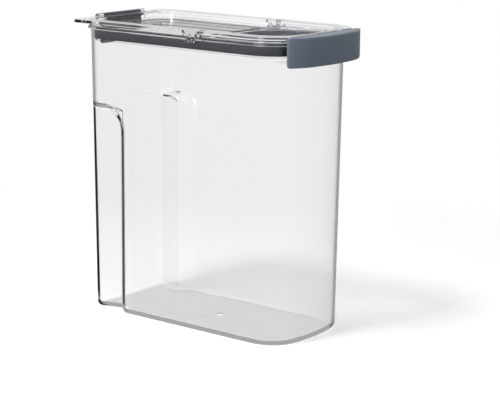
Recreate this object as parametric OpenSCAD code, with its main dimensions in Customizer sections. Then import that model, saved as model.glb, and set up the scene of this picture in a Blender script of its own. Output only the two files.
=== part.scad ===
// Countertop cereal container with a flip-up spout cover.
// Millimetres, +Z up, spout end at +X, Z = 0 on the table.

/* [Overall] */
// Length over the rear flange and the front latch
overall_l = 238.25; // [210:0.25:270]
// Width over the lid flange
overall_w = 120.65; // [110:0.05:140]
// Height to the top of the rear latch
overall_h = 260.35; // [220:0.05:300]

/* [Container] */
// Wall growth from the foot to the rim, on each side
draft = 3.5; // [1:0.1:5]
// Wall thickness
wall = 2.3; // [1.5:0.1:3.5]
// Floor thickness
floor_t = 2.6; // [1.5:0.1:5]
// Rounding of the edge around the foot
foot_r = 5.5; // [3:0.5:8]
// Radius of the rear upright corners at the foot
rear_r = 15; // [10:0.5:22]
// Radius of the front upright corners at the foot
cheek_r = 31; // [26:0.5:36]
// Radius of the shallow nose between the front corners
nose_r = 150; // [110:1:200]
// How far the rim flange stands out
rim_out = 2.5; // [1:0.1:3]
// Thickness of the rim flange
rim_t = 2.5; // [1.5:0.1:4]
// How far the latch ribs stand out
rib_out = 3; // [1.5:0.1:3.5]
// Thickness of the latch ribs
rib_t = 1.4; // [1:0.1:2.4]
// Diameter of the moulding gate mark under the floor
gate_d = 9; // [4:0.5:14]

/* [Grip recesses] */
// Distance of the recess step behind the middle
grip_x = 67.5; // [55:0.5:80]
// Height of the top of the recess
grip_top = 183; // [150:1:200]
// Radius of the arched top corner
grip_r = 24; // [12:1:30]
// Depth at the step
grip_front_depth = 15; // [8:0.5:18]
// How far the step slopes back to the floor of the recess
grip_run = 14; // [8:0.5:18]
// Depth at the rear corner
grip_rear_depth = 3.5; // [1:0.5:6]

/* [Lid] */
// How far the lid flange stands out from the container wall
lid_overhang = 6.5; // [6.4:0.1:9]
// Thickness of the lid flange
flange_t = 2.5; // [2:0.1:3.5]
// Radius of the rear corners of the flange
flange_r = 6; // [4:0.5:12]
// Height of the spacer ring between the rim and the flange
ring_t = 2.6; // [2.4:0.1:4]
// Thickness of the plug skirt
skirt_t = 2.1; // [1.6:0.1:3]
// Depth of the plug skirt below the lid panel
skirt_h = 10; // [9.5:0.5:20]
// Thickness of the lid panel
panel_t = 1.8; // [1.2:0.1:2.4]
// Height of the gasket band
gasket_h = 7.5; // [4:0.5:8.5]
// Clearance between seated pieces
seat_gap = 0.1; // [0.05:0.05:0.3]

/* [Spout] */
// Distance of the rear edge of the spout opening ahead of the middle
spout_x0 = 20; // [18:1:40]
// Width of the rim of the spout seal
seal_rim = 6; // [3:0.5:7]
// Thickness of the rim of the spout seal
seal_t = 1.1; // [0.8:0.1:1.2]
// Thickness of the throat of the spout seal
throat_t = 1.6; // [1:0.1:2.4]
// Depth of the throat
throat_h = 9; // [4:0.5:9]
// Clearance around the plug rib of the cover
plug_gap = 0.7; // [0.6:0.1:1.5]

/* [Cover hinge] */
// Distance of the hinge line ahead of the middle
hinge_x = 12; // [8:0.5:18]
// How far ahead of the hinge pins the cover begins
cover_arm = 10; // [8:0.5:14]
// Diameter of the hinge pins
hinge_pin_d = 3; // [2:0.1:4]
// Thickness of the lid lugs
lug_t = 1.2; // [1.2:0.1:1.8]
// Running clearance around every pin
pin_gap = 0.05; // [0.02:0.01:0.1]
// Side clearance between moving faces
side_gap = 0.4; // [0.3:0.05:0.6]

/* [Latches] */
// How far the front latch stands out from the container wall
latch_out = 13.3; // [12:0.1:16]
// Height of both latches below the flange top
latch_h = 24; // [22.5:0.5:28]
// Wall thickness of the latches
latch_t = 2.4; // [1.8:0.1:3]
// How far the ends of the front latch stand in from the sides of the lid
latch_inset = 10.3; // [9:0.1:14]
// Half of the width of the rear latch
rear_half_w = 24.4; // [16:0.2:28]
// Gap between a latch lip and its rib
lip_gap = 0.3; // [0.2:0.05:0.6]
// Thickness of the latch lips
lip_t = 2; // [1.2:0.1:2.4]
// Diameter of the latch pins
pin_d = 2.4; // [1.6:0.1:2.6]
// Radius of the front latch barrel
front_barrel_r = 2.4; // [2:0.1:2.5]
// Radius of the rear latch barrel
rear_barrel_r = 2.85; // [2.4:0.05:3]
// How far the rear latch barrel stands above the flange
rear_rise = 2.55; // [1.5:0.05:3]
// Width of the hinge knuckles of the front latch
knuckle_w = 3; // [2:0.5:5]
// Width of the hinge knuckles of the rear latch
rear_knuckle_w = 5.5; // [3:0.5:8]

/* [Hidden] */
$fn = 96;
// Plan at the foot
half_w = overall_w / 2 - lid_overhang - draft;
rear_x = overall_l / 2 - lid_overhang - draft;
front_x = overall_l / 2 - latch_out - draft;
nose_cx = front_x - nose_r;
cheek_cy = half_w - cheek_r;
cheek_cx = nose_cx + sqrt((nose_r - cheek_r) * (nose_r - cheek_r) - cheek_cy * cheek_cy);
cheek_a = atan2(cheek_cy, cheek_cx - nose_cx);
// Height levels, from the top down
flange_top = overall_h - rear_rise;
flange_z = flange_top - flange_t;
rim_z = flange_z - ring_t - seat_gap;
panel_z = rim_z - 1.6;
skirt_z = panel_z - panel_t / 2 - skirt_h;
latch_z = flange_top - latch_h;
rib_z = latch_z + lip_t + 0.6;
// Plan offsets from the foot outline
flange_o = draft + lid_overhang;
rim_o = draft + rim_out;
ring_o = draft + 1;
cavity_o = draft - wall;
skirt_o = cavity_o - 1.1;
skirt_in_o = skirt_o - skirt_t;
latch_o = draft + latch_out;
rib_o = draft * rib_z / rim_z + rib_out;
gasket_o = draft * skirt_z / rim_z - wall - seat_gap;
gasket_in_o = skirt_o - 0.9;
gasket_z = skirt_z + 1.4;
// Cover hinge
hinge_z = panel_z + 0.5;
hinge_top = flange_top - hinge_z;
cover_x = hinge_x + cover_arm;
hinge_low = flange_z - hinge_z;
base_x = hinge_x + sqrt(cover_arm * cover_arm + hinge_low * hinge_low - hinge_top * hinge_top) - side_gap;
notch_x = hinge_x - hinge_top - side_gap;
ear_t = 2;
ear_y = overall_w / 2 - ear_t;
lug_y = ear_y - side_gap - lug_t;
lug_r = hinge_pin_d / 2 + 2;
cover_panel_z = panel_z + seal_t + seat_gap;
cover_wall_o = skirt_in_o - 0.3;
cover_wall_t = 1.7;
// Front latch hinge
latch_half_w = overall_w / 2 - latch_inset;
latch_x = front_x + 2.5;
latch_axis_z = flange_top - front_barrel_r;
knuckle_y = latch_half_w - 6.5;
knuckle_root = 5;
// Rear latch hinge
rear_axis_x = -overall_l / 2 + rear_barrel_r;
rear_axis_z = overall_h - rear_barrel_r;
// Spout outline, inset from the skirt
spout_o = skirt_in_o - 5.5;
spout_r = half_w + spout_o;
big = 400;

// One rear corner removed outside a cone that is tangent to both neighbouring faces
module rear_corner(side, z0, z1, a, b, r)
{
    cx = -rear_x + r;
    cy = half_w - r;
    difference() {
        translate([-big, side > 0 ? cy : -big, z0 + 0.5])
            cube([big + cx, big - cy, z1 - z0 - 1]);
        translate([cx, side * cy, z0])
            cylinder(h = z1 - z0, r1 = r + a, r2 = r + b);
    }
}

// The same for a front corner, between the side and the nose
module front_corner(side, z0, z1, a, b)
{
    difference() {
        translate([cheek_cx, side * cheek_cy, z0 + 0.5])
            linear_extrude(z1 - z0 - 1)
                polygon([[0, 0],
                         [0, side * big],
                         [big, side * big],
                         [big * cos(cheek_a), side * big * sin(cheek_a)]]);
        translate([cheek_cx, side * cheek_cy, z0])
            cylinder(h = z1 - z0, r1 = cheek_r + a, r2 = cheek_r + b);
    }
}

// Solid with the container plan, offset by a at z0 and by b at z1
module plan_solid(z0, z1, a, b, r)
{
    // The tools run past both ends, on the same slopes
    step = (b - a) / (z1 - z0);
    lo = z0 - 1;
    hi = z1 + 1;
    al = a - step;
    bh = b + step;
    difference() {
        intersection() {
            rotate([90, 0, 90])
                linear_extrude(big, center = true)
                    polygon([[-half_w - al, lo], [half_w + al, lo], [half_w + bh, hi], [-half_w - bh, hi]]);
            rotate([90, 0, 0])
                linear_extrude(big + 2, center = true)
                    polygon([[-rear_x - a, z0], [big / 2 - 1, z0], [big / 2 - 1, z1], [-rear_x - b, z1]]);
            translate([nose_cx, 0, lo])
                cylinder(h = hi - lo, r1 = nose_r + al, r2 = nose_r + bh);
        }
        for (side = [-1, 1]) {
            rear_corner(side, lo, hi, al, bh, r);
            front_corner(side, lo, hi, al, bh);
        }
    }
}

// Straight slab with the container plan
module slab(z0, z1, o, r = rear_r)
{
    plan_solid(z0, z1, o, o, r);
}

// Slab with the rear corners rounded to a given outer radius
module flange_slab(z0, z1, o)
{
    slab(z0, z1, o, flange_r - o);
}

module box(x0, x1, y0, y1, z0, z1)
{
    translate([x0, y0, z0])
        cube([x1 - x0, y1 - y0, z1 - z0]);
}

// Pin or bore along Y
module rod(x, z, r, y0, y1)
{
    translate([x, y0, z])
        rotate([-90, 0, 0])
            cylinder(h = y1 - y0, r = r);
}

function o_at(z) = draft * z / rim_z;

// Everything outside the sloping step and floor of one grip recess, grown by g
module grip_tool(side, g)
{
    // In the plan, the step rises by rise and the floor by fall for each mm along X
    floor_y = half_w - grip_front_depth;
    top_y = half_w + draft;
    fall = (grip_front_depth - grip_rear_depth) / (rear_x - grip_x);
    rise = (top_y - floor_y) / grip_run - fall;
    lean = g * sqrt(1 + rise * rise);
    corner = (floor_y - g - top_y + lean) / (rise + fall);
    run_out = rear_r;
    far_y = half_w + big / 10;
    xf = g - grip_x;
    intersection() {
        translate([0, side * big / 4, 0])
            rotate([90, 0, 0])
                linear_extrude(big / 2, center = true)
                    union() {
                        translate([xf - grip_r - g, grip_top - grip_r])
                            circle(r = grip_r + g);
                        translate([-big / 2, -1])
                            square([big / 2 + xf, 1 + grip_top - grip_r]);
                        translate([-big / 2, -1])
                            square([big / 2 + xf - grip_r - g, 1 + grip_top + g]);
                    }
        translate([0, 0, -2])
            linear_extrude(big)
                polygon([[corner - grip_x, side * (floor_y - g - fall * corner)],
                         [-rear_x - run_out, side * (floor_y - g + fall * (rear_x + run_out - grip_x))],
                         [-rear_x - run_out, side * far_y],
                         [(far_y - top_y + lean) / rise - grip_x, side * far_y]]);
    }
}

// Everything outside a slope that leaves the foot plan at offset a and reaches offset b at height h
module foot_cut(z0, h, a, b)
{
    slope = (b - a) / h;
    difference() {
        box(-big, big, -big, big, z0 - 1, z0 + h + 1);
        plan_solid(z0 - 2, z0 + h + 2, a - 2 * slope, b + 2 * slope, rear_r);
    }
}

// The plan with draft, from z0 to z1, with a rounded edge of radius r around its foot
module tub(z0, z1, o, r)
{
    difference() {
        plan_solid(z0, z1, o_at(z0) + o, o_at(z1) + o, rear_r);
        foot_cut(z0, r, o - r * 0.34, o + o_at(r));
        foot_cut(z0, r * 0.34, o - r * 0.66, o);
    }
}

module container()
{
    color([0.9, 0.93, 0.95, 0.3])
        difference() {
            union() {
                difference() {
                    tub(0, rim_z, 0, foot_r);
                    for (side = [-1, 1])
                        grip_tool(side, 0);
                }
                slab(rim_z - rim_t, rim_z, rim_o);
                intersection() {
                    slab(rib_z, rib_z + rib_t, rib_o);
                    box(front_x - 15, big, -big, big, 0, big);
                }
                intersection() {
                    slab(rib_z, rib_z + rib_t, rib_o);
                    box(-big, -rear_x + 20, -rear_half_w, rear_half_w, 0, big);
                }
            }
            difference() {
                tub(floor_t, rim_z + 1, -wall, foot_r - wall / 2);
                for (side = [-1, 1])
                    grip_tool(side, wall);
            }
            translate([0, 0, -1])
                cylinder(h = 1.4, d = gate_d);
        }
}

module lid_base()
{
    color([0.92, 0.94, 0.96, 0.3])
        difference() {
            union() {
                difference() {
                    union() {
                        // Plug skirt
                        slab(skirt_z, rim_z + seat_gap + 0.2, skirt_o);
                        // Spacer ring on the container rim
                        slab(rim_z + seat_gap, flange_z - seat_gap, ring_o);
                        // Flange of the rear half
                        intersection() {
                            flange_slab(flange_z - seat_gap, flange_top, flange_o);
                            box(-big, base_x, -big, big, 0, big);
                        }
                    }
                    // Tray above the panel and room below it
                    slab(panel_z, big, skirt_in_o);
                    slab(skirt_z - 1, panel_z - panel_t, skirt_in_o);
                    // Groove of the gasket
                    difference() {
                        slab(gasket_z, gasket_z + gasket_h, skirt_o + 1);
                        slab(gasket_z - 1, gasket_z + gasket_h + 1, gasket_in_o);
                    }
                    // Room for the swinging rear edge of the cover
                    box(base_x, cover_x, -big, big, panel_z, big);
                    // Notches for the arms of the cover
                    for (side = [-1, 1])
                        mirror([0, side < 0 ? 1 : 0, 0])
                            box(notch_x, base_x + 1, ear_y - side_gap, big, rim_z, big);
                    // Room for the front latch
                    box(latch_x - front_barrel_r - side_gap, big, -latch_half_w - 1, latch_half_w + 1, rim_z + seat_gap, big);
                }
                for (side = [-1, 1]) {
                    // Lugs of the cover hinge
                    mirror([0, side < 0 ? 1 : 0, 0]) {
                        box(hinge_x, hinge_x + lug_r + 2, half_w + draft - 1, lug_y + lug_t, rim_z + 0.3, flange_z);
                        box(hinge_x - 0.5, hinge_x + lug_r, lug_y, lug_y + lug_t, hinge_z, flange_z);
                        rod(hinge_x, hinge_z, lug_r, lug_y, lug_y + lug_t);
                        // Knuckles of the rear latch
                        rod(rear_axis_x, rear_axis_z, rear_barrel_r, rear_half_w + side_gap,
                            rear_half_w + side_gap + rear_knuckle_w);
                    }
                }
            }
            // Spout opening through the panel
            spout_cut(panel_z - panel_t - 1, panel_z + 1, 0);
            // Notch of the rear latch
            box(-big, rear_axis_x + rear_barrel_r + side_gap, -rear_half_w - side_gap, rear_half_w + side_gap, rim_z + 0.2, big);
            // Pin bores
            rod(hinge_x, hinge_z, hinge_pin_d / 2 + pin_gap, -big / 2, big / 2);
            rod(rear_axis_x, rear_axis_z, pin_d / 2, -rear_half_w - 20, rear_half_w + 20);
        }
}

// The spout outline grown by g: half round at the rear, along the plan elsewhere
module spout_cut(z0, z1, g)
{
    difference() {
        slab(z0, z1, spout_o + g);
        difference() {
            box(-big, spout_x0 + spout_r, -big, big, z0 - 1, z1 + 1);
            translate([spout_x0 + spout_r, 0, z0 - 2])
                cylinder(h = z1 - z0 + 4, r = spout_r + g);
        }
    }
}

module lid_gasket()
{
    color([0.25, 0.28, 0.33])
        difference() {
            slab(gasket_z, gasket_z + gasket_h, gasket_o);
            slab(gasket_z - 1, gasket_z + gasket_h + 1, gasket_in_o);
        }
}

module spout_seal()
{
    color([0.25, 0.28, 0.33])
        difference() {
            union() {
                spout_cut(panel_z, panel_z + seal_t, seal_rim - throat_t);
                spout_cut(panel_z - throat_h, panel_z + seal_t / 2, 0);
            }
            spout_cut(panel_z - throat_h - 1, panel_z + 10, -throat_t);
        }
}

module flip_cover()
{
    wall_in = cover_wall_o - cover_wall_t;
    color([0.92, 0.94, 0.96, 0.3])
        difference() {
            union() {
                intersection() {
                    difference() {
                        union() {
                            // Flange over the front half
                            flange_slab(flange_z, flange_top, flange_o);
                            // Inner wall
                            slab(cover_panel_z, flange_z + 0.5, cover_wall_o);
                        }
                        // Tray above the cover panel
                        slab(cover_panel_z + panel_t, big, wall_in);
                    }
                    box(cover_x, latch_x - front_barrel_r - side_gap, -big, big, 0, big);
                }
                // Plug rib inside the spout seal
                difference() {
                    spout_cut(panel_z - throat_h / 2, cover_panel_z + panel_t / 2, -throat_t - plug_gap);
                    spout_cut(panel_z - throat_h / 2 - 1, cover_panel_z, -throat_t - plug_gap - 1.5);
                }
                for (side = [-1, 1])
                    mirror([0, side < 0 ? 1 : 0, 0]) {
                        // Hinge arms, round behind the pin
                        intersection() {
                            rod(hinge_x, hinge_z, hinge_top - 0.3, ear_y, ear_y + ear_t);
                            box(0, big, 0, big, hinge_z - lug_r, big);
                        }
                        box(hinge_x, cover_x + ear_t, ear_y, ear_y + ear_t, hinge_z, flange_top);
                        // Knuckles of the front latch
                        rod(latch_x, latch_axis_z, front_barrel_r, knuckle_y, knuckle_y + knuckle_w);
                        box(latch_x - front_barrel_r - knuckle_root, latch_x, knuckle_y, knuckle_y + knuckle_w,
                            latch_axis_z - front_barrel_r + 0.3, flange_top);
                    }
            }
            rod(hinge_x, hinge_z, hinge_pin_d / 2, -big / 2, big / 2);
            rod(latch_x, latch_axis_z, pin_d / 2, -latch_half_w, latch_half_w);
        }
}

module cover_hinge_pins()
{
    color([0.22, 0.25, 0.3])
        for (side = [-1, 1])
            mirror([0, side < 0 ? 1 : 0, 0])
                rod(hinge_x, hinge_z, hinge_pin_d / 2, lug_y, ear_y + ear_t - 0.1);
}

module front_latch()
{
    inner_o = latch_o - latch_t;
    color([0.27, 0.31, 0.37])
        difference() {
            union() {
                intersection() {
                    difference() {
                        slab(latch_z, flange_top, latch_o);
                        slab(latch_z + lip_t, flange_top - latch_t, inner_o);
                        slab(latch_z - 1, latch_z + lip_t + 1, rib_o + lip_gap);
                    }
                    box(latch_x, big, -latch_half_w, latch_half_w, 0, big);
                }
                // End cheeks
                intersection() {
                    slab(latch_z, flange_top, latch_o);
                    difference() {
                        slab(latch_z, flange_top, latch_o);
                        slab(latch_z - 1, big, rib_o + lip_gap);
                    }
                    for (side = [-1, 1])
                        mirror([0, side < 0 ? 1 : 0, 0])
                            box(latch_x, big, latch_half_w - latch_t, latch_half_w, 0, big);
                }
                rod(latch_x, latch_axis_z, front_barrel_r, -latch_half_w + 2, latch_half_w - 2);
            }
            // Notches for the knuckles
            for (side = [-1, 1])
                mirror([0, side < 0 ? 1 : 0, 0])
                    box(0, latch_x + front_barrel_r + side_gap, knuckle_y - side_gap, knuckle_y + knuckle_w + side_gap,
                        latch_axis_z - front_barrel_r - 1, big);
            rod(latch_x, latch_axis_z, pin_d / 2 + pin_gap, -latch_half_w + 1, latch_half_w - 1);
        }
}

module front_latch_pin()
{
    color([0.75, 0.76, 0.78])
        rod(latch_x, latch_axis_z, pin_d / 2, -latch_half_w + 1.2, latch_half_w - 1.2);
}

module rear_latch()
{
    x0 = -overall_l / 2;
    lip_x = -rear_x - rib_o - lip_gap;
    color([0.27, 0.31, 0.37])
        difference() {
            union() {
                rod(rear_axis_x, rear_axis_z, rear_barrel_r, -rear_half_w, rear_half_w);
                box(x0, x0 + latch_t, -rear_half_w, rear_half_w, latch_z, rear_axis_z);
                box(x0, lip_x, -rear_half_w, rear_half_w, latch_z, latch_z + lip_t);
            }
            rod(rear_axis_x, rear_axis_z, pin_d / 2 + pin_gap, -rear_half_w - 1, rear_half_w + 1);
        }
}

module rear_latch_pin()
{
    end_y = rear_half_w + side_gap + rear_knuckle_w - 0.2;
    color([0.75, 0.76, 0.78])
        rod(rear_axis_x, rear_axis_z, pin_d / 2, -end_y, end_y);
}

container();
lid_base();
lid_gasket();
spout_seal();
flip_cover();
cover_hinge_pins();
front_latch();
front_latch_pin();
rear_latch();
rear_latch_pin();
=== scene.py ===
"""Cereal container with flip spout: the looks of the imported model, piece by piece."""

import logging
import math
from contextlib import contextmanager
from dataclasses import dataclass, field
from enum import Enum
from typing import Any, Iterable, Iterator, Sequence

import bmesh
import bpy
from mathutils import Matrix, Vector


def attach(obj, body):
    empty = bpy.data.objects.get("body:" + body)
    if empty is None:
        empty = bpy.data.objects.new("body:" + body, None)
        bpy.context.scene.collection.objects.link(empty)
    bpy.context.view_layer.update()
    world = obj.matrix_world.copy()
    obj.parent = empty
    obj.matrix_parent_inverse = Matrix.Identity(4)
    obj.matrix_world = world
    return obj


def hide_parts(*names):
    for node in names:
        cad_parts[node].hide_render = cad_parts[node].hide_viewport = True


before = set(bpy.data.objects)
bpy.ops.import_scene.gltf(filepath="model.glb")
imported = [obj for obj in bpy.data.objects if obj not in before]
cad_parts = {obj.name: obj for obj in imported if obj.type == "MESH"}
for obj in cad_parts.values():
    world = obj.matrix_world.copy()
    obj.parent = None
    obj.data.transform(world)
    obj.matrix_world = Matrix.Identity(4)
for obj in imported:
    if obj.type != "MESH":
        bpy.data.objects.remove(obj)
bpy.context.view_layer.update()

LOG = logging.getLogger("container")
MM = 0.001
WHITE = (1.0, 1.0, 1.0, 1.0)

# Doubles closer than this are merged, in metres
MERGE = 1e-7

# Largest share of a side that a rounding at its end may take
SIDE_SHARE = 0.49

Point = tuple[float, float]
Triple = tuple[float, float, float]
Row = list[Triple]
Material, Mesh, Piece = bpy.types.Material, bpy.types.Mesh, bpy.types.Object
Tree, Node, Socket = bpy.types.NodeTree, bpy.types.Node, bpy.types.NodeSocket


# ---- small tools


def linear(hex_colour: str) -> tuple[float, float, float, float]:
    """Turns an sRGB hex colour to linear.

    Args:
        hex_colour: Six hex digits, with or without a leading hash.

    Returns:
        Red, green, blue and alpha, linear.
    """
    digits = hex_colour.lstrip("#")
    parts = [int(digits[i : i + 2], 16) / 255 for i in (0, 2, 4)]
    rgb = [c / 12.92 if c <= 0.04045 else ((c + 0.055) / 1.055) ** 2.4 for c in parts]
    return (rgb[0], rgb[1], rgb[2], 1.0)


def add_node(
    tree: Tree,
    kind: str,
    settings: dict[Any, Any] | None = None,
    links: dict[Any, Any] | None = None,
) -> Node:
    """Adds a node with its settings and links.

    Args:
        tree: The tree that gets it.
        kind: The node's type.
        settings: Values by input name or number, or by attribute of the node.
        links: By the input that they go to, output sockets or nodes whose first output is meant.

    Returns:
        The new node.
    """
    made = tree.nodes.new(kind)
    for key, value in (settings or {}).items():
        if isinstance(key, int) or key in made.inputs:
            made.inputs[key].default_value = value
        else:
            setattr(made, key, value)
    for key, source in (links or {}).items():
        socket = source.outputs[0] if isinstance(source, Node) else source
        tree.links.new(socket, made.inputs[key])
    return made


def emptied(owner: Material | bpy.types.World) -> Tree:
    """Gives a material or a world an empty node tree."""
    owner.use_nodes = True
    owner.node_tree.nodes.clear()
    return owner.node_tree


def local(tree: Tree) -> Socket:
    """Returns the place on the piece itself, which moves with it."""
    return add_node(tree, "ShaderNodeTexCoord").outputs["Object"]


def noise(tree: Tree, size_mm: float, detail: float, at: Any) -> Node:
    """Adds a noise.

    Args:
        tree: The tree that gets it.
        size_mm: Size of its lumps in mm.
        detail: How many finer layers it has.
        at: The place that it reads.

    Returns:
        Its node.
    """
    values = {"Scale": 1 / (size_mm * MM), "Detail": detail}
    return add_node(tree, "ShaderNodeTexNoise", values, {"Vector": at})


def ramp(
    tree: Tree, value: Any, results: Point, values: Point = (0.0, 1.0), kind: str = "LINEAR"
) -> Node:
    """Adds a ramp.

    Args:
        tree: The tree that gets it.
        value: What it reads.
        results: What it gives at its two ends.
        values: What it reads at its two ends.
        kind: How it runs between them.

    Returns:
        Its node.
    """
    ends = {"From Min": values[0], "From Max": values[1], "To Min": results[0], "To Max": results[1]}
    return add_node(tree, "ShaderNodeMapRange", {**ends, "interpolation_type": kind}, {"Value": value})


def mixed(tree: Tree, share: Any, first: Any, second: Any) -> Node:
    """Adds a mix of two shaders, with the second one's share."""
    return add_node(tree, "ShaderNodeMixShader", links={0: share, 1: first, 2: second})


def smoothstep(value: float) -> float:
    """Returns the smooth ramp from 0 to 1 for a value from 0 to 1."""
    t = min(max(value, 0.0), 1.0)
    return t * t * (3 - 2 * t)


def soft_min(a: float, b: float, reach: float) -> float:
    """Returns the lesser of two values, with the change-over between them rounded within a reach."""
    near = max(reach - abs(a - b), 0.0) / reach
    return min(a, b) - near * near * reach / 4


def arc(centre: Point, radius: float, start: float, end: float, steps: int) -> list[Point]:
    """Returns the points of an arc from one angle to another, both ends included."""
    turns = [start + (end - start) * k / steps for k in range(steps + 1)]
    return [(centre[0] + radius * math.cos(a), centre[1] + radius * math.sin(a)) for a in turns]


def rounded(
    path: Sequence[Point], radii: Sequence[float], steps: int = 4, closed: bool = False
) -> list[Point]:
    """Rounds the corners of a profile.

    Args:
        path: Corners of the profile, as offset and height in mm.
        radii: One radius for each corner, 0 for a sharp one.
        steps: Segments in each rounding.
        closed: True if the profile is a loop.

    Returns:
        The profile with arcs in place of its corners.
    """
    out: list[Point] = []
    count = len(path)
    for i, corner in enumerate(path):
        if radii[i] <= 0 or (not closed and i in (0, count - 1)):
            out.append(corner)
            continue
        here = Vector(corner)
        before, after = Vector(path[i - 1]) - here, Vector(path[(i + 1) % count]) - here
        turn = before.angle(after)
        room = min(before.length, after.length) * SIDE_SHARE
        reach = min(radii[i] / math.tan(turn / 2), room)
        radius = reach * math.tan(turn / 2)
        bisector = (before.normalized() + after.normalized()).normalized()
        centre = here + bisector * (radius / math.sin(turn / 2))
        first = here + before.normalized() * reach - centre
        last = here + after.normalized() * reach - centre
        sweep = first.angle_signed(last)
        for k in range(steps + 1):
            spin = Matrix.Rotation(-sweep * k / steps, 2)
            point = centre + spin @ first
            out.append((point.x, point.y))
    return out


@contextmanager
def editing(mesh: Mesh, into: Mesh | None = None) -> Iterator[bmesh.types.BMesh]:
    """Opens a mesh for editing.

    Args:
        mesh: Where the edit starts from.
        into: The mesh that gets the result, or None for the first one.

    Yields:
        The mesh as it is edited.
    """
    work = bmesh.new()
    work.from_mesh(mesh)
    yield work
    work.to_mesh(mesh if into is None else into)
    work.free()


def mesh_from(
    name: str, points: Iterable[Sequence[float]], faces: Iterable[Sequence[int]]
) -> Mesh:
    """Makes a mesh from points in mm, with its doubles merged and its faces turned outwards.

    Args:
        name: Name of the mesh.
        points: Points in mm.
        faces: Corners of each face, as indices of the points.

    Returns:
        The mesh, in metres.
    """
    mesh = bpy.data.meshes.new(name)
    mesh.from_pydata([[c * MM for c in p] for p in points], [], [list(f) for f in faces])
    with editing(mesh) as work:
        bmesh.ops.remove_doubles(work, verts=work.verts, dist=MERGE)
        bmesh.ops.recalc_face_normals(work, faces=work.faces)
    return mesh


def shade(mesh: Mesh, angle: float = 40.0) -> None:
    """Shades a mesh smooth, apart from edges sharper than an angle in degrees."""
    mesh.polygons.foreach_set("use_smooth", [True] * len(mesh.polygons))
    mesh.set_sharp_from_angle(angle=math.radians(angle))


def linked(name: str, data: bpy.types.ID) -> Piece:
    """Makes an object at the origin and links it to the scene."""
    made = bpy.data.objects.new(name, data)
    bpy.context.scene.collection.objects.link(made)
    return made


def place(mesh: Mesh, material: Material) -> Piece:
    """Makes an object at the origin from a mesh, under the mesh's name and with one material."""
    mesh.materials.clear()
    mesh.materials.append(material)
    return linked(mesh.name, mesh)


def baked(piece: Piece) -> Piece:
    """Applies a piece's modifiers, so that it carries a plain mesh."""
    graph = bpy.context.evaluated_depsgraph_get()
    graph.update()
    mesh = bpy.data.meshes.new_from_object(piece.evaluated_get(graph))
    piece.modifiers.clear()
    piece.data = mesh
    return piece


def bevelled(piece: Piece, width_mm: float, segments: int, angle: float = 40.0) -> None:
    """Rounds the edges that are sharper than an angle in degrees."""
    soft = piece.modifiers.new("edge", "BEVEL")
    soft.width = width_mm * MM
    soft.segments = segments
    soft.limit_method = "ANGLE"
    soft.angle_limit = math.radians(angle)
    baked(piece)
    shade(piece.data)


# ---- finishes


@dataclass(frozen=True)
class Look:
    """What the finishes share: a name, and a material made from their surface."""

    name: str

    def surface(self, tree: Tree) -> Node:
        """Returns the last node of the surface."""
        raise NotImplementedError

    def build(self) -> Material:
        """Returns the material."""
        material = bpy.data.materials.new(self.name)
        tree = emptied(material)
        add_node(tree, "ShaderNodeOutputMaterial", links={0: self.surface(tree)})
        return material


@dataclass(frozen=True)
class ClearPlastic(Look):
    """Clear SAN, injection moulded: glassy, faintly grey, with a little flow unevenness in its gloss."""

    tint: str = "#FCFCFC"
    shadow: str = "#D2D4D6"
    ior: float = 1.52
    roughness: float = 0.03
    flow_mm: float = 60.0
    flow_depth_mm: float = 0.02
    flow_strength: float = 0.25

    def surface(self, tree: Tree) -> Node:
        """Returns the clear plastic, which casts a pale shadow."""
        wave = add_node(
            tree,
            "ShaderNodeBump",
            {"Strength": self.flow_strength, "Distance": self.flow_depth_mm * MM},
            {"Height": noise(tree, self.flow_mm, detail=2.0, at=local(tree))},
        )
        plastic = add_node(
            tree,
            "ShaderNodeBsdfPrincipled",
            {
                "Base Color": linear(self.tint),
                "Transmission Weight": 1.0,
                "IOR": self.ior,
                "Roughness": self.roughness,
            },
            {"Normal": wave},
        )
        light_through = add_node(tree, "ShaderNodeBsdfTransparent", {0: linear(self.shadow)})
        path = add_node(tree, "ShaderNodeLightPath")
        return mixed(tree, path.outputs["Is Shadow Ray"], plastic, light_through)


@dataclass(frozen=True)
class ClearSheet(Look):
    """Clear SAN as a thin flat sheet: nearly invisible, with a faint even sheen."""

    tint: str = "#9CA0A6"
    cover: float = 0.06
    ior: float = 1.52
    roughness: float = 0.12

    def surface(self, tree: Tree) -> Node:
        """Returns the thin sheet."""
        values = {"IOR": self.ior, "Roughness": self.roughness, "Alpha": self.cover}
        return add_node(tree, "ShaderNodeBsdfPrincipled", {"Base Color": linear(self.tint), **values})


@dataclass(frozen=True)
class MouldedPlastic(Look):
    """Opaque ABS or silicone, moulded: an even colour with a fine grain that softens its gloss."""

    colour: str
    roughness: float = 0.42
    gloss_spread: Point = (-0.04, 0.05)
    grain_mm: float = 0.6
    grain_depth_mm: float = 0.02
    grain_strength: float = 0.3
    cloud_mm: float = 18.0
    mottle: float = 0.04
    ior: float = 1.5
    coat: float = 0.0
    coat_roughness: float = 0.2

    def surface(self, tree: Tree) -> Node:
        """Returns the moulded plastic."""
        at = local(tree)
        grain = noise(tree, self.grain_mm, detail=3.0, at=at)
        cloud = noise(tree, self.cloud_mm, detail=2.0, at=at)
        shades = add_node(tree, "ShaderNodeValToRGB", links={0: cloud})
        base = linear(self.colour)[:3]
        for stop, share in zip(shades.color_ramp.elements, (1 - self.mottle, 1 + self.mottle)):
            stop.color = [min(c * share, 1) for c in base] + [1]
        low, high = self.gloss_spread
        bump = add_node(
            tree,
            "ShaderNodeBump",
            {"Strength": self.grain_strength, "Distance": self.grain_depth_mm * MM},
            {"Height": grain},
        )
        return add_node(
            tree,
            "ShaderNodeBsdfPrincipled",
            {"IOR": self.ior, "Coat Weight": self.coat, "Coat Roughness": self.coat_roughness},
            {
                "Base Color": shades,
                "Roughness": ramp(tree, grain, (self.roughness + low, self.roughness + high)),
                "Normal": bump,
            },
        )


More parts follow.
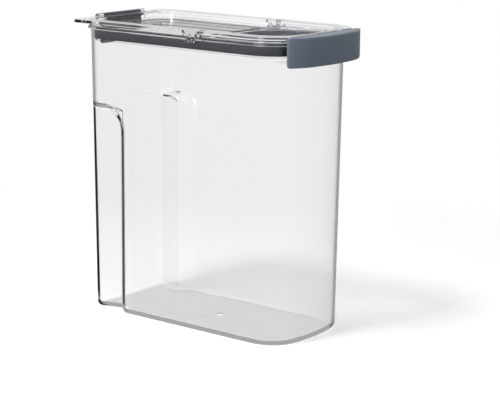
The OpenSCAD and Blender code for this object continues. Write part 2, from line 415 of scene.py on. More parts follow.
@dataclass(frozen=True)
class DrawnSteel(Look):
    """Drawn stainless wire: bright, with fine lines along its length."""

    colour: str = "#C9CBCE"
    line_mm: float = 0.25
    line_stretch: float = 0.03
    gloss: Point = (0.22, 0.38)

    def surface(self, tree: Tree) -> Node:
        """Returns the drawn steel."""
        stretch = add_node(tree, "ShaderNodeMapping", {"Scale": (1, self.line_stretch, 1)}, {0: local(tree)})
        lines = noise(tree, self.line_mm, detail=2.0, at=stretch)
        return add_node(
            tree,
            "ShaderNodeBsdfPrincipled",
            {"Base Color": linear(self.colour), "Metallic": 1.0},
            {"Roughness": ramp(tree, lines, self.gloss)},
        )


class Finish(Enum):
    """The finishes of the object."""

    BODY = ClearPlastic("clear_san_body")
    LID = ClearPlastic("clear_san_lid", tint="#F7F8F9")
    PANE = ClearSheet("clear_san_sheet")
    SILICONE = MouldedPlastic("moulded_silicone_navy", "#141924", roughness=0.6, grain_mm=0.8)
    SEAL = MouldedPlastic("moulded_silicone_slate", "#2B313D", roughness=0.5, grain_mm=0.8, coat=0.1)
    LATCH = MouldedPlastic("moulded_abs_slate", "#586371", roughness=0.4)
    LATCH_DARK = MouldedPlastic("moulded_abs_slate_dark", "#2C313B", roughness=0.4)
    PIN = MouldedPlastic("moulded_acetal_dark", "#2B3039", roughness=0.35)
    STEEL = DrawnSteel("drawn_steel")


class Paintbox:
    """Builds each finish once and hands it out."""

    def __init__(self) -> None:
        """Starts with no finish built."""
        self.made: dict[Finish, Material] = {}

    def get(self, finish: Finish) -> Material:
        """Returns the material of a finish."""
        if finish not in self.made:
            self.made[finish] = finish.value.build()
        return self.made[finish]


def finished(piece: Piece, node: str, body: str, finish: Finish) -> Piece:
    """Puts a piece in a CAD node's place, lets it ride on its body and reports it."""
    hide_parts(node)
    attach(piece, body)
    LOG.info("%s: %d faces on %s, %s", piece.name, len(piece.data.polygons), body, finish.value.name)
    return piece


# ---- plan outline


@dataclass(frozen=True)
class Plan:
    """Outline of the body at the foot: straight sides, rounded rear corners, broad cheeks, a shallow nose.

    Lengths are in mm. The wall leans out by draft from the foot to rim_z.
    """

    half_w: float = 50.325
    rear_x: float = 109.125
    front_x: float = 102.325
    rear_r: float = 15.0
    least_r: float = 0.3
    cheek_r: float = 31.0
    nose_r: float = 150.0
    rim_z: float = 252.6
    draft: float = 3.5
    nose_steps: int = 16
    cheek_steps: int = 18
    corner_steps: int = 16
    rear_steps: int = 6
    spout_steps: int = 24
    spout_gap: float = 1.0
    side_x: tuple[float, ...] = tuple(60.0 - 10 * k for k in range(16))

    def lean(self, z: float) -> float:
        """Returns how far the drafted wall stands out at a height."""
        return self.draft * z / self.rim_z

    def nose_x(self) -> float:
        """Returns the x of the nose arc's centre."""
        return self.front_x - self.nose_r

    def cheek(self) -> Triple:
        """Returns the cheek arc's centre and the angle where it meets the nose."""
        cy = self.half_w - self.cheek_r
        cx = self.nose_x() + math.sqrt((self.nose_r - self.cheek_r) ** 2 - cy * cy)
        return cx, cy, math.atan2(cy, cx - self.nose_x())

    def half(self, offset: float, side_x: Sequence[float]) -> list[Point]:
        """The outline's left half, from the nose to the middle of the rear.

        Args:
            offset: How far it stands out from the foot's outline.
            side_x: Places along the straight side.

        Returns:
            Points in mm, all with y of 0 or more.
        """
        cx, cy, angle = self.cheek()
        out = arc((self.nose_x(), 0.0), self.nose_r + offset, 0.0, angle, self.nose_steps)
        out += arc((cx, cy), self.cheek_r + offset, angle, math.pi / 2, self.cheek_steps)[1:]
        out += [(x, self.half_w + offset) for x in side_x]
        corner = max(self.rear_r + offset, self.least_r)
        centre = (-self.rear_x - offset + corner, self.half_w + offset - corner)
        out += arc(centre, corner, math.pi / 2, math.pi, self.corner_steps)
        steps = self.rear_steps
        return out + [(-self.rear_x - offset, centre[1] * (1 - k / steps)) for k in range(1, steps + 1)]

    def path(self, offset: float) -> tuple[Point, ...]:
        """Returns the outline at an offset as a path for a sweep."""
        return tuple((x, y) for x, y, _ in self.ring(offset, 0, self.side_x))

    def spout_path(self, offset: float, rear_x: float) -> tuple[Point, ...]:
        """The spout's outline: the plan at the front and a half round at the rear.

        Args:
            offset: How far it stands out from the foot's outline.
            rear_x: Place of its rear end.

        Returns:
            Points counter-clockwise from the nose.
        """
        radius = self.half_w + offset
        centre = rear_x + radius
        left = [p for p in self.half(offset, []) if p[0] > centre + self.spout_gap]
        left += arc((centre, 0.0), radius, math.pi / 2, math.pi, self.spout_steps)
        return tuple(left + [(x, -y) for x, y in reversed(left[1:-1])])

    def ring(self, offset: float, z: float, side_x: Sequence[float]) -> Row:
        """The whole outline at a height, counter-clockwise from the nose."""
        left = self.half(offset, side_x)
        loop = left + [(x, -y) for x, y in reversed(left[1:-1])]
        return [(x, y, z) for x, y in loop]


def loft(name: str, rows: Sequence[Row]) -> Mesh:
    """Joins rings of points into a skin and caps both ends.

    Args:
        name: Name of the mesh.
        rows: Rings with the same number of points.

    Returns:
        The closed mesh, in metres.
    """
    count = len(rows[0])
    points = [p for row in rows for p in row]
    faces: list[list[int]] = []
    for j in range(len(rows) - 1):
        a, b = j * count, (j + 1) * count
        for i in range(count):
            k = (i + 1) % count
            faces.append([a + i, a + k, b + k, b + i])
    faces.append(list(range(count))[::-1])
    faces.append([(len(rows) - 1) * count + i for i in range(count)])
    return mesh_from(name, points, faces)


def turned(name: str, profile: Sequence[Point], steps: int = 48) -> Mesh:
    """Turns a profile of radius and place about the Y axis.

    Args:
        name: Name of the mesh.
        profile: Radius and y of each ring in mm.
        steps: Points in each ring.

    Returns:
        The closed mesh, in metres.
    """
    turns = [2 * math.pi * k / steps for k in range(steps)]
    return loft(name, [[(r * math.cos(a), y, r * math.sin(a)) for a in turns] for r, y in profile])


# ---- geometry nodes


class Recipe:
    """A Geometry Nodes group with named inputs, run once on a carrier mesh."""

    def __init__(self, name: str, inputs: dict[str, str]) -> None:
        """Starts the group.

        Args:
            name: Name of the group.
            inputs: Socket types of the extra inputs by name.
        """
        self.tree = bpy.data.node_groups.new(name, "GeometryNodeTree")
        face = self.tree.interface
        face.new_socket("Geometry", in_out="INPUT", socket_type="NodeSocketGeometry")
        self.sockets = {
            key: face.new_socket(key, in_out="INPUT", socket_type=kind) for key, kind in inputs.items()
        }
        face.new_socket("Geometry", in_out="OUTPUT", socket_type="NodeSocketGeometry")
        self.source = add_node(self.tree, "NodeGroupInput")

    def finish(self, made: Node) -> None:
        """Ends the group: makes the geometry real, shades it smooth and gives it its material."""
        real = add_node(self.tree, "GeometryNodeRealizeInstances", links={0: made})
        soft = add_node(self.tree, "GeometryNodeSetShadeSmooth", links={0: real})
        dressed = add_node(
            self.tree,
            "GeometryNodeSetMaterial",
            links={0: soft, "Material": self.source.outputs["Finish"]},
        )
        add_node(self.tree, "NodeGroupOutput", links={0: dressed})

    def run(self, name: str, carrier: Mesh, values: dict[str, Any]) -> Piece:
        """Runs the group and keeps its plain mesh.

        Args:
            name: Name of the piece.
            carrier: Mesh that the group works on.
            values: Value of each named input.

        Returns:
            The piece, at the origin and without a modifier.
        """
        piece = linked(name, carrier)
        recipe = piece.modifiers.new("recipe", "NODES")
        recipe.node_group = self.tree
        for key, value in values.items():
            recipe[self.sockets[key].identifier] = value
        return baked(piece)


def outline_mesh(name: str, points: Sequence[Sequence[float]]) -> Mesh:
    """Makes a closed wire from points in mm."""
    mesh = bpy.data.meshes.new(name)
    count = len(points)
    mesh.from_pydata([[c * MM for c in p] for p in points], [(i, (i + 1) % count) for i in range(count)], [])
    return mesh


@dataclass(frozen=True)
class Swept:
    """A moulded strip with a constant section, led along a flat closed path by Geometry Nodes."""

    node: str
    name: str
    body: str
    finish: Finish
    path: tuple[Point, ...]
    section: tuple[Point, ...]
    radii: tuple[float, ...]
    steps: int = 3
    shade_deg: float = 50.0

    def build(self, paint: Paintbox) -> Piece:
        """Builds the strip in place of its CAD solid."""
        recipe = Recipe("sweep", {"Section": "NodeSocketObject", "Finish": "NodeSocketMaterial"})
        tree, source = recipe.tree, recipe.source
        line = add_node(tree, "GeometryNodeMeshToCurve", links={0: source.outputs["Geometry"]})
        upright = add_node(tree, "GeometryNodeSetCurveNormal", {"mode": "Z_UP"}, {0: line})
        shape = add_node(tree, "GeometryNodeObjectInfo", links={0: source.outputs["Section"]})
        loop = add_node(tree, "GeometryNodeMeshToCurve", links={0: shape.outputs["Geometry"]})
        strip = add_node(tree, "GeometryNodeCurveToMesh", links={0: upright, 1: loop})
        recipe.finish(strip)
        around = rounded(self.section, self.radii, self.steps, closed=True)
        section = linked("section", outline_mesh("section", [(x, -z, 0.0) for x, z in around]))
        carrier = outline_mesh(self.name, [(x, y, 0.0) for x, y in self.path])
        piece = recipe.run(self.name, carrier, {"Section": section, "Finish": paint.get(self.finish)})
        bpy.data.objects.remove(section)
        with editing(piece.data) as work:
            bmesh.ops.recalc_face_normals(work, faces=work.faces)
        shade(piece.data, self.shade_deg)
        return finished(piece, self.node, self.body, self.finish)


@dataclass(frozen=True)
class Repeated:
    """A small turned piece set at several places by Geometry Nodes, half a turn round where y is negative."""

    node: str
    name: str
    body: str
    finish: Finish
    profile: tuple[Point, ...]
    places: tuple[Triple, ...]

    def build(self, paint: Paintbox) -> Piece:
        """Builds all of the copies in place of the CAD solids."""
        recipe = Recipe("repeat", {"Piece": "NodeSocketObject", "Finish": "NodeSocketMaterial"})
        tree, source = recipe.tree, recipe.source
        shape = add_node(tree, "GeometryNodeObjectInfo", links={0: source.outputs["Piece"]})
        place_at = add_node(tree, "GeometryNodeInputPosition")
        parts = add_node(tree, "ShaderNodeSeparateXYZ", links={0: place_at})
        far = add_node(tree, "ShaderNodeMath", {"operation": "LESS_THAN", 1: 0.0}, {0: parts.outputs[1]})
        turn = add_node(tree, "ShaderNodeMath", {"operation": "MULTIPLY", 1: math.pi}, {0: far})
        spin = add_node(tree, "ShaderNodeCombineXYZ", links={2: turn})
        copies = add_node(
            tree,
            "GeometryNodeInstanceOnPoints",
            links={0: source.outputs["Geometry"], 2: shape.outputs["Geometry"], 5: spin},
        )
        recipe.finish(copies)
        one = linked("one", turned("one", self.profile))
        carrier = bpy.data.meshes.new(self.name)
        carrier.from_pydata([[c * MM for c in p] for p in self.places], [], [])
        piece = recipe.run(self.name, carrier, {"Piece": one, "Finish": paint.get(self.finish)})
        bpy.data.objects.remove(one)
        shade(piece.data)
        return finished(piece, self.node, self.body, self.finish)


# ---- sub-assemblies


@dataclass
class Container:
    """The clear body: a drafted, open-topped shell with a finger recess down each side of its rear.

    Lengths are in mm. Each pair in rib_edge is a height past a rib's edge and the share of the rib's reach
    there. Each pair in gate_dish is a distance past the gate mark's radius and a height. The columns along
    the side and the rings up the wall stand close together round the recess.
    """

    plan: Plan = field(default_factory=Plan)
    wall: float = 2.3
    floor_t: float = 2.6
    foot_r: float = 5.5
    foot_margin: float = 1.5
    foot_steps: int = 7
    rim_out: float = 2.5
    rim_t: float = 2.5
    rim_radii: tuple[float, ...] = (0, 0.8, 0.7, 0.7, 0.6, 0)
    rim_from: float = 244.0
    mouth_from: float = 240.0
    rib_out: float = 3.0
    rib_t: float = 1.4
    rib_z: float = 236.4
    rib_edge: tuple[Point, ...] = ((-1.2, 0.0), (-0.2, 0.0), (0.0, 0.06), (0.0, 0.94), (0.15, 1.0))
    rear_rib_half: float = 24.4
    rear_rib_fade: Point = (0.5, 0.8)
    front_rib_from: float = 87.3
    front_rib_fade: float = 1.5
    grip_zone: Point = (-55.0, 25.0)
    grip_x: float = 67.5
    grip_top: float = 183.0
    grip_r: float = 24.0
    grip_front_depth: float = 15.0
    grip_rear_depth: float = 3.5
    grip_run: float = 14.0
    grip_reach: float = 0.5
    grip_blend: float = 4.0
    grip_edge: float = 1.0
    grip_corner: float = 1.2
    gate_d: float = 9.0
    gate_dish: tuple[Point, ...] = ((-0.6, 0.5), (-0.2, 0.4), (0.0, 0.0), (3.0, 0.0))
    side_x: tuple[float, ...] = (
        *(60.0, 45.0, 28.0, 8.0, -12.0, -30.0, -44.0, -54.0, -60.0, -62.5),
        *(-64.0 - 0.75 * k for k in range(27)),
        *(-85.0 - 1.5 * k for k in range(6)),
    )
    outer_z: tuple[float, ...] = (7, 12, 30, 60, 90, 120, 140, 150, 154, *range(156, 188), 192, 205, 222)
    inner_z: tuple[float, ...] = (222, 205, 192, *range(188, 154, -1), 152, 148, 140, 120, 90, 60, 30, 14, 10)

    def recess(self, x: float, z: float, inward: float) -> Point:
        """How a recess shapes the side wall at a place.

        Args:
            x: Place along the side.
            z: Height.
            inward: How far this place lies inside the outer skin of the straight wall.

        Returns:
            The y of the recess there, and how much of it applies, from 0 to 1.
        """
        plan, t = self.plan, x + self.grip_x
        floor_y = plan.half_w - self.grip_front_depth
        top_y = plan.half_w + plan.draft
        fall = (self.grip_front_depth - self.grip_rear_depth) / (plan.rear_x - self.grip_x)
        rise = (top_y - floor_y) / self.grip_run - fall
        step = top_y + rise * t - inward * math.sqrt(1 + rise * rise)
        floor = floor_y - fall * t - inward
        depth_y = -soft_min(-step, -floor, self.grip_corner)
        radius = self.grip_r + inward
        cx, cz = inward - self.grip_x - radius, self.grip_top + inward - radius
        inside = radius
        if z > cz:
            inside = radius - (math.hypot(x - cx, z - cz) if x >= cx else z - cz)
        return depth_y, smoothstep((inside + self.grip_reach) / self.grip_blend)

    def wall_ring(self, z: float, inward: float, inset: float = 0.0) -> Row:
        """A ring of the wall, with the two recesses pressed into it.

        Args:
            z: Its height.
            inward: How far it lies inside the outer skin.
            inset: How far the rounding at the foot draws it in.

        Returns:
            The ring.
        """
        row: Row = []
        for x, y, _ in self.plan.ring(self.plan.lean(z) - inward - inset, z, self.side_x):
            if x < self.grip_zone[0] and abs(y) > self.grip_zone[1]:
                depth_y, share = self.recess(x, z, inward + inset)
                deep = soft_min(abs(y), depth_y, self.grip_edge)
                y = math.copysign(abs(y) + (deep - abs(y)) * share, y)
            row.append((x, y, z))
        return row

    def rib_ring(self, z: float, out_by: float) -> Row:
        """A ring of the wall, drawn out into the catch ribs under the latches."""
        plan = self.plan
        row: Row = []
        for x, y, _ in plan.ring(plan.lean(z), z, self.side_x):
            front = smoothstep((x - self.front_rib_from) / self.front_rib_fade)
            behind = smoothstep((-x - plan.rear_x) / self.rear_rib_fade[0])
            rear = behind * smoothstep((self.rear_rib_half - abs(y)) / self.rear_rib_fade[1])
            along = Vector((x - plan.nose_x(), y)).normalized() if front else Vector((-1, 0))
            push = out_by * max(front, rear)
            row.append((x + along.x * push, y + along.y * push, z))
        return row

    def rows(self) -> list[Row]:
        """Returns the rings of the skin, from the underside's middle over the rim to the floor's middle."""
        plan, gate = self.plan, self.gate_d / 2

        def circle(radius: float, z: float, like: Row) -> Row:
            """A round ring whose points face those of the outline."""
            turns = [math.atan2(y, x) for x, y, _ in like]
            return [(radius * math.cos(a), radius * math.sin(a), z) for a in turns]

        def rounding(radius: float, base: float, inward: float) -> list[Row]:
            """The rings of the rounding between a flat face and the wall, from the flat face up."""
            turns = [math.pi / 2 * k / self.foot_steps for k in range(self.foot_steps + 1)]
            places = [(base + radius * (1 - math.cos(a)), radius * (1 - math.sin(a))) for a in turns]
            return [self.wall_ring(z, inward, inset) for z, inset in places]

        foot = self.wall_ring(0.0, 0.0, self.foot_r)
        out = [circle(gate + wider, z, foot) for wider, z in self.gate_dish]
        out.append(self.wall_ring(0.0, 0.0, self.foot_r + self.foot_margin))
        out += rounding(self.foot_r, 0.0, 0.0)
        out += [self.wall_ring(z, 0.0) for z in self.outer_z]
        low, high = self.rib_z, self.rib_z + self.rib_t
        edges = [(low + up, share) for up, share in self.rib_edge]
        edges += [(high - up, share) for up, share in reversed(self.rib_edge)]
        out += [self.rib_ring(z, self.rib_out * share) for z, share in edges]
        rim, under, top = plan.draft + self.rim_out, plan.rim_z - self.rim_t, plan.rim_z
        path = [
            (plan.lean(self.rim_from), self.rim_from),
            (plan.lean(under), under),
            (rim, under),
            (rim, top),
            (plan.draft - self.wall, top),
            (plan.lean(self.mouth_from) - self.wall, self.mouth_from),
        ]
        out += [plan.ring(offset, z, self.side_x) for offset, z in rounded(path, self.rim_radii)]
        out += [self.wall_ring(z, self.wall) for z in self.inner_z]
        inner_r = self.foot_r - self.wall / 2
        out += reversed(rounding(inner_r, self.floor_t, self.wall))
        out.append(self.wall_ring(self.floor_t, self.wall, inner_r + self.foot_margin))
        out.append(circle(gate + self.gate_dish[-1][0], self.floor_t, out[-1]))
        return out

    def build(self, paint: Paintbox) -> None:
        """Builds the body in place of its CAD solid."""
        mesh = loft("body_shell", self.rows())
        shade(mesh)
        finished(place(mesh, paint.get(Finish.BODY)), "container", "container", Finish.BODY)


@dataclass(frozen=True)
class Softened:
    """A CAD node taken over with its edges softened."""

    node: str
    name: str
    body: str
    finish: Finish
    edge: float
    segments: int = 2
    weld_m: float = 2e-6
    flat_deg: float = 0.6

    def build(self, paint: Paintbox) -> Piece:
        """Builds the piece from a copy of the node's mesh."""
        mesh = bpy.data.meshes.new(self.name)
        with editing(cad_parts[self.node].data, mesh) as work:
            bmesh.ops.remove_doubles(work, verts=work.verts, dist=self.weld_m)
            flat = math.radians(self.flat_deg)
            bmesh.ops.dissolve_limit(
                work, angle_limit=flat, verts=work.verts, edges=work.edges, delimit={"NORMAL"}
            )
        piece = place(mesh, paint.get(self.finish))
        bevelled(piece, self.edge, self.segments)
        even = piece.modifiers.new("even", "WEIGHTED_NORMAL")
        even.keep_sharp = True
        even.weight = 100
        baked(piece)
        return finished(piece, self.node, self.body, self.finish)


def split_pane(cover: Piece, levels: Point, paint: Paintbox) -> None:
    """Takes the flat panel's two faces off the cover, as a pane of its own.

    Args:
        cover: The cover's piece.
        levels: Heights of the panel's underside and top in mm.
        paint: Gives the pane's finish.
    """
    tilt, slack = 0.999, 0.05

    def is_pane(face: bmesh.types.BMFace) -> bool:
        """True for the level faces at the panel's two heights."""
        height = face.calc_center_median().z / MM
        return abs(face.normal.z) > tilt and min(abs(height - z) for z in levels) < slack

    parts = []
    for name, keep in ((cover.data.name, False), ("cover_pane", True)):
        mesh = bpy.data.meshes.new(name)
        with editing(cover.data, mesh) as work:
            gone = [face for face in work.faces if is_pane(face) != keep]
            bmesh.ops.delete(work, geom=gone, context="FACES")
        parts.append(mesh)
    parts[0].materials.append(paint.get(Finish.LID))
    cover.data = parts[0]
    finished(place(parts[1], paint.get(Finish.PANE)), "flip_cover", "cover", Finish.PANE)


@dataclass(frozen=True)
class FrontCatch:
    """The slate front latch: a curved hood with closed ends, a lip below and a barrel round its pin.

    Lengths are in mm. The hood's outside stands out from the plan by its field out, the lip's inside by
    lip_out. The run gives the places of its cuts between the knuckles.
    """

    plan: Plan = field(default_factory=Plan)
    out: float = 16.8
    wall: float = 2.4
    least_t: float = 0.8
    lip_out: float = 6.58
    lip_t: float = 2.0
    lip_r: float = 0.4
    half: float = 50.025
    back_x: float = 104.825
    z: Point = (233.8, 257.8)
    knuckle: Point = (43.12, 46.93)
    knuckle_x: float = 107.63
    edge_r: float = 1.3
    corner_r: float = 2.6
    corner_steps: int = 6
    corner_top: float = 0.5
    corner_front: float = 0.3
    run: tuple[float, ...] = tuple(40.0 - 3.2 * k for k in range(12))
    cut: float = 0.01
    barrel_r: float = 2.4
    barrel_inset: float = 2.0
    barrel_edge: float = 0.3
    shade_deg: float = 38.0

    def front(self, offset: float, y: float) -> float:
        """Returns the x of the plan's front at an offset, for a given y."""
        cx, cy, angle = self.plan.cheek()
        reach = self.plan.nose_r + offset
        if abs(y) <= reach * math.sin(angle):
            return self.plan.nose_x() + math.sqrt(reach * reach - y * y)
        cheek = self.plan.cheek_r + offset
        return cx + math.sqrt(max(cheek * cheek - (abs(y) - cy) ** 2, 0.0))

    def section(self, y: float, solid: bool, notched: bool) -> Row:
        """The latch cut across at a y.

        Args:
            y: Where it is cut.
            solid: True within the closed ends.
            notched: True where a knuckle of the cover stands.

        Returns:
            A loop of points.
        """
        past = max(abs(y) - (self.half - self.corner_r), 0.0)
        rise = self.corner_r - math.sqrt(max(self.corner_r**2 - past**2, 0.0))
        low, high = self.z[0] + rise, self.z[1] - rise * self.corner_top
        outer = self.front(self.out, y) - rise * self.corner_front
        back = min(self.knuckle_x if notched else self.back_x, outer - self.least_t)
        lip = min(max(self.front(self.lip_out, y), self.back_x), outer - self.least_t)
        inner = lip if solid else max(self.front(self.out - self.wall, y), lip)
        path = [
            (back, high),
            (outer, high),
            (outer, low),
            (lip, low),
            (lip, low + self.lip_t),
            (inner, low + self.lip_t),
            (inner, high - self.wall),
            (back, high - self.wall),
        ]
        radii = [self.lip_r, self.edge_r, self.edge_r, self.lip_r, 0, 0, 0, 0]
        return [(x, y, z) for x, z in rounded(path, radii, closed=True)]

    def stations(self) -> list[tuple[float, bool, bool]]:
        """Returns each cut's y, whether it is solid and whether it is notched, from the left end."""
        turns = [math.pi / 2 * k / self.corner_steps for k in range(self.corner_steps + 1)]
        ends = [self.half - self.corner_r * (1 - math.cos(a)) for a in turns]
        cheek = self.half - self.wall
        low, high = self.knuckle
        half = [(y, True, False) for y in ends if y > cheek]
        half += [(cheek, True, False), (cheek - self.cut, False, False)]
        half += [(high + self.cut, False, False), (high, False, True)]
        half += [(low, False, True), (low - self.cut, False, False)]
        half += [(y, False, False) for y in self.run]
        return half + [(0.0, False, False)] + [(-y, a, b) for y, a, b in reversed(half)]

    def barrel(self) -> Mesh:
        """Returns the barrel, in three lengths between the knuckles."""
        low, high = self.knuckle
        end, r, edge = self.half - self.barrel_inset, self.barrel_r, self.barrel_edge
        tube = bpy.data.meshes.new("front_barrel")
        with editing(tube) as work:
            for y0, y1 in ((-end, -high), (-low, low), (high, end)):
                part = turned("barrel", [(r - edge, y0), (r, y0 + edge), (r, y1 - edge), (r - edge, y1)])
                work.from_mesh(part)
                bpy.data.meshes.remove(part)
            centre = (self.back_x * MM, 0, (self.z[1] - r) * MM)
            bmesh.ops.translate(work, verts=work.verts, vec=centre)
        return tube

    def build(self, paint: Paintbox) -> None:
        """Builds the hood and the barrel in place of the CAD solid."""
        hood = loft("front_catch", [self.section(*cut) for cut in self.stations()])
        for mesh in (hood, self.barrel()):
            shade(mesh, self.shade_deg)
            finished(place(mesh, paint.get(Finish.LATCH)), "front_latch", "front_latch", Finish.LATCH)


@dataclass(frozen=True)
class RearCatch:
    """The dark rear latch: a round bar with a hanging plate and a lip."""

    bar: Point = (-116.275, 257.5)
    bar_r: float = 2.85
    bar_steps: int = 24
    back_x: float = -119.125
    plate_t: float = 2.4
    lip_x: float = -115.7
    lip_t: float = 2.0
    lip_radii: tuple[float, ...] = (0.9, 0.5, 0.4, 0.3, 0, 0)
    low: float = 233.8
    guide_h: float = 8.0
    half: float = 24.4
    edge: float = 0.5
    edge_segments: int = 3
    edge_deg: float = 60.0

    def build(self, paint: Paintbox) -> None:
        """Builds the latch in place of the CAD solid."""
        inner, step, guide = self.back_x + self.plate_t, self.low + self.lip_t, self.low + self.guide_h
        path = [
            (self.back_x, self.low),
            (self.lip_x, self.low),
            (self.lip_x, step),
            (inner, step),
            (inner, guide),
            (self.back_x, guide),
        ]
        # The last two corners only guide the roundings, and the bar closes the loop in their place
        outline = rounded(path, self.lip_radii, closed=True)[:-2]
        start = -math.acos((inner - self.bar[0]) / self.bar_r)
        outline += arc(self.bar, self.bar_r, start, math.pi, self.bar_steps)
        mesh = loft("rear_catch", [[(x, y, z) for x, z in outline] for y in (-self.half, self.half)])
        piece = place(mesh, paint.get(Finish.LATCH_DARK))
        bevelled(piece, self.edge, self.edge_segments, self.edge_deg)
        finished(piece, "rear_latch", "rear_latch", Finish.LATCH_DARK)


@dataclass
class Lid:
    """The clear lid with its gasket, spout seal, flip cover, latches and pins."""

    plan: Plan = field(default_factory=Plan)
    tray_edge: float = 0.3
    cover_edge: float = 0.3
    rod_edge: float = 0.2
    panel_z: float = 251.0
    gasket_in: float = -0.8
    gasket_out: float = 0.93
    gasket_z: float = 241.5
    gasket_h: float = 7.5
    gasket_radii: tuple[float, ...] = (0.2, 0.7, 0.7, 0.2)
    spout_offset: float = -7.5
    spout_rear: float = 20.0
    throat_t: float = 1.6
    throat_h: float = 9.0
    seal_rim: float = 4.4
    seal_t: float = 1.1
    seal_radii: tuple[float, ...] = (0.5, 0.5, 0.2, 0.3, 0.45, 0.5)
    pane_z: Point = (252.2, 254.0)
    hinge: Point = (12.0, 251.5)
    stub_y: Point = (56.73, 60.22)
    stub_r: float = 1.5
    stub_inner_edge: float = 0.2
    stub_outer_edge: float = 0.25
    stub_dish: tuple[Point, ...] = ((0.8, 0.0), (0.65, 0.3), (0.1, 0.35))

    def gasket(self) -> Swept:
        """The slate band round the plug skirt."""
        z0, z1 = self.gasket_z, self.gasket_z + self.gasket_h
        a, b = self.gasket_in, self.gasket_out
        return Swept(
            node="lid_gasket",
            name="gasket_band",
            body="lid",
            finish=Finish.SILICONE,
            path=self.plan.path(0.0),
            section=((a, z0), (b, z0), (b, z1), (a, z1)),
            radii=self.gasket_radii,
        )

    def seal(self) -> Swept:
        """The slate throat of the spout with its flat rim."""
        z0, z1, z2 = self.panel_z - self.throat_h, self.panel_z, self.panel_z + self.seal_t
        inner, rim = -self.throat_t, self.seal_rim
        return Swept(
            node="spout_seal",
            name="spout_throat",
            body="lid",
            finish=Finish.SEAL,
            path=self.plan.spout_path(self.spout_offset, self.spout_rear),
            section=((inner, z0), (0.0, z0), (0.0, z1), (rim, z1), (rim, z2), (inner, z2)),
            radii=self.seal_radii,
        )

    def stubs(self) -> Repeated:
        """The two hinge pins of the cover, dished at their outer ends."""
        inner, outer = self.stub_y
        length, r = outer - inner, self.stub_r
        shank = (
            (r - self.stub_inner_edge, 0.0),
            (r, self.stub_inner_edge),
            (r, length - self.stub_outer_edge),
            (r - self.stub_outer_edge, length),
        )
        dish = tuple((ring, length - depth) for ring, depth in self.stub_dish)
        x, z = self.hinge
        places = ((x, inner, z), (x, -inner, z))
        return Repeated("cover_hinge_pins", "hinge_stubs", "cover", Finish.PIN, shank + dish, places)

    def build(self, paint: Paintbox) -> None:
        """Builds every piece of the lid."""
        Softened("lid_base", "lid_tray", "lid", Finish.LID, self.tray_edge).build(paint)
        self.gasket().build(paint)
        self.seal().build(paint)
        cover = Softened("flip_cover", "spout_cover", "cover", Finish.LID, self.cover_edge).build(paint)
        split_pane(cover, self.pane_z, paint)
        self.stubs().build(paint)
        Softened("front_latch_pin", "front_rod", "cover", Finish.STEEL, self.rod_edge).build(paint)
        Softened("rear_latch_pin", "rear_rod", "lid", Finish.STEEL, self.rod_edge).build(paint)
        FrontCatch(self.plan).build(paint)
        RearCatch().build(paint)


# ---- studio


@dataclass(frozen=True)
class Lamp:
    """A square soft light: its place, its side and the point that it faces in metres, its power in watts."""

    name: str
    at: Triple
    size: float
    power: float
    aim: Triple

    def build(self) -> None:
        """Adds the light."""
        data = bpy.data.lights.new(self.name, "AREA")
        data.size = self.size
        data.energy = self.power
        lamp = linked(self.name, data)
        lamp.location = self.at
        lamp.rotation_mode = "QUATERNION"
        lamp.rotation_quaternion = (Vector(self.aim) - Vector(self.at)).to_track_quat("-Z", "Y")


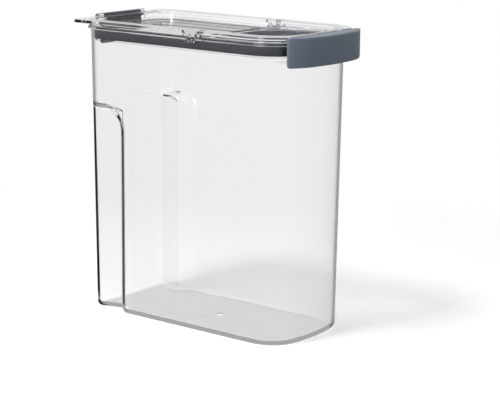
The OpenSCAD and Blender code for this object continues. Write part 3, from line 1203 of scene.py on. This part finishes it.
@dataclass(frozen=True)
class Studio:
    """Pale floor, soft light and the camera.

    Angles are in degrees and lengths in metres. The floor shows its shadows up to the start of its fade and
    plain white past the end. Mirrored rays see the given strengths of the floor and of the air, which changes
    from its first strength to its second over mirrored_rise, as heights on a sphere of radius 1.
    """

    azimuth: float = 37.7
    elevation: float = 11.47
    distance: float = 1.4257
    sensor_mm: float = 36.0
    focal_px: float = 1651.0
    clip: Point = (0.05, 60.0)
    target: Triple = (0.01837, 0.0142, 0.130)
    centre_px: Point = (249.0, 171.3)
    roll: float = 0.49
    picture: tuple[int, int] = (500, 404)
    lamps: tuple[Lamp, ...] = (
        Lamp("key", (-0.2, -0.9, 2.0), 0.45, 22, (0, 0, 0.1)),
        Lamp("fill", (-0.15, -1.75, 0.75), 0.7, 14, (0.05, 0, 0.2)),
    )
    soft_from: Triple = (-0.6, -0.75, 0.28)
    soft_light: Point = (0.05, 0.95)
    floor_half: float = 6.0
    floor_colour: str = "#E6E6E6"
    floor_glow: float = 0.23
    fade: Point = (0.3, 0.6)
    mirrored_floor: float = 0.38
    mirrored_air: Point = (0.85, 0.95)
    mirrored_rise: Point = (0.1, 0.6)

    def camera(self) -> None:
        """Sets the camera."""
        width, height = self.picture
        data = bpy.data.cameras.new("camera")
        data.sensor_width = self.sensor_mm
        data.lens = self.focal_px * data.sensor_width / width
        data.shift_x = -(self.centre_px[0] - width / 2) / width
        data.shift_y = (self.centre_px[1] - height / 2) / width
        data.clip_start, data.clip_end = self.clip
        eye = linked("camera", data)
        a, e = math.radians(self.azimuth), math.radians(self.elevation)
        back = Vector((math.sin(a) * math.cos(e), -math.cos(a) * math.cos(e), math.sin(e)))
        eye.location = Vector(self.target) + back * self.distance
        turn = (-back).to_track_quat("-Z", "Y").to_matrix().to_4x4()
        roll = Matrix.Rotation(math.radians(self.roll), 4, "Z")
        eye.matrix_world = Matrix.Translation(eye.location) @ turn @ roll
        bpy.context.scene.camera = eye

    def rays(self, tree: Tree) -> tuple[Node, Node]:
        """Returns two switches: for rays seen straight or through clear pieces, and for mirrored rays."""
        path = add_node(tree, "ShaderNodeLightPath").outputs
        seen = {0: path["Is Camera Ray"], 1: path["Is Transmission Ray"]}
        straight = add_node(tree, "ShaderNodeMath", {"operation": "MAXIMUM"}, seen)
        capped = {"operation": "MINIMUM", 1: 1.0}
        mirrored = add_node(tree, "ShaderNodeMath", capped, {0: path["Glossy Depth"]})
        return straight, mirrored

    def floor(self) -> None:
        """Lays a pale floor that keeps the shadow and shows white elsewhere."""
        mesh = bpy.data.meshes.new("studio_floor")
        with editing(mesh) as work:
            bmesh.ops.create_grid(work, x_segments=1, y_segments=1, size=self.floor_half)
        material = bpy.data.materials.new("painted_board_white")
        tree = emptied(material)
        straight, mirrored = self.rays(tree)
        board = add_node(tree, "ShaderNodeBsdfDiffuse", {0: linear(self.floor_colour)})
        glow, white, mirror = (
            add_node(tree, "ShaderNodeEmission", {0: WHITE, 1: strength})
            for strength in (self.floor_glow, 1.0, self.mirrored_floor)
        )
        lit = add_node(tree, "ShaderNodeAddShader", links={0: board, 1: glow})
        away = add_node(tree, "ShaderNodeVectorMath", {"operation": "LENGTH"}, {0: local(tree)})
        fade = ramp(tree, away.outputs["Value"], (0.0, 1.0), self.fade, "SMOOTHSTEP")
        shown = mixed(tree, straight, board, mixed(tree, fade, lit, white))
        add_node(tree, "ShaderNodeOutputMaterial", links={0: mixed(tree, mirrored, shown, mirror)})
        place(mesh, material)

    def world(self) -> None:
        """Surrounds the object with air: white to look at, lit from one side, a little darker in mirrors."""
        sky = bpy.data.worlds.new("studio_air")
        bpy.context.scene.world = sky
        tree = emptied(sky)
        straight, mirrored = self.rays(tree)
        way = add_node(tree, "ShaderNodeNewGeometry").outputs["Position"]
        facing = {"operation": "DOT_PRODUCT", 1: self.soft_from}
        side = add_node(tree, "ShaderNodeVectorMath", facing, {0: way})
        soft = ramp(tree, side.outputs["Value"], self.soft_light, (-1.0, 1.0))
        seen = add_node(tree, "ShaderNodeMix", {"data_type": "FLOAT", 3: 1.0}, {0: straight, 2: soft})
        parts = add_node(tree, "ShaderNodeSeparateXYZ", links={0: way})
        rise = add_node(tree, "ShaderNodeMath", {"operation": "ABSOLUTE"}, {0: parts.outputs["Z"]})
        graded = ramp(tree, rise, self.mirrored_air, self.mirrored_rise)
        strength = add_node(tree, "ShaderNodeMix", {"data_type": "FLOAT"}, {0: mirrored, 2: seen, 3: graded})
        air = add_node(tree, "ShaderNodeBackground", {0: WHITE}, {1: strength})
        add_node(tree, "ShaderNodeOutputWorld", links={0: air})

    def build(self) -> None:
        """Sets up the whole studio."""
        self.floor()
        self.world()
        for lamp in self.lamps:
            lamp.build()
        self.camera()
        bpy.context.scene.view_settings.view_transform = "Standard"


def main() -> None:
    """Builds each sub-assembly in order, then the studio."""
    logging.basicConfig(level=logging.INFO, format="%(name)s: %(message)s")
    paint = Paintbox()
    Container().build(paint)
    Lid().build(paint)
    Studio().build()


if __name__ == "__main__":
    main()
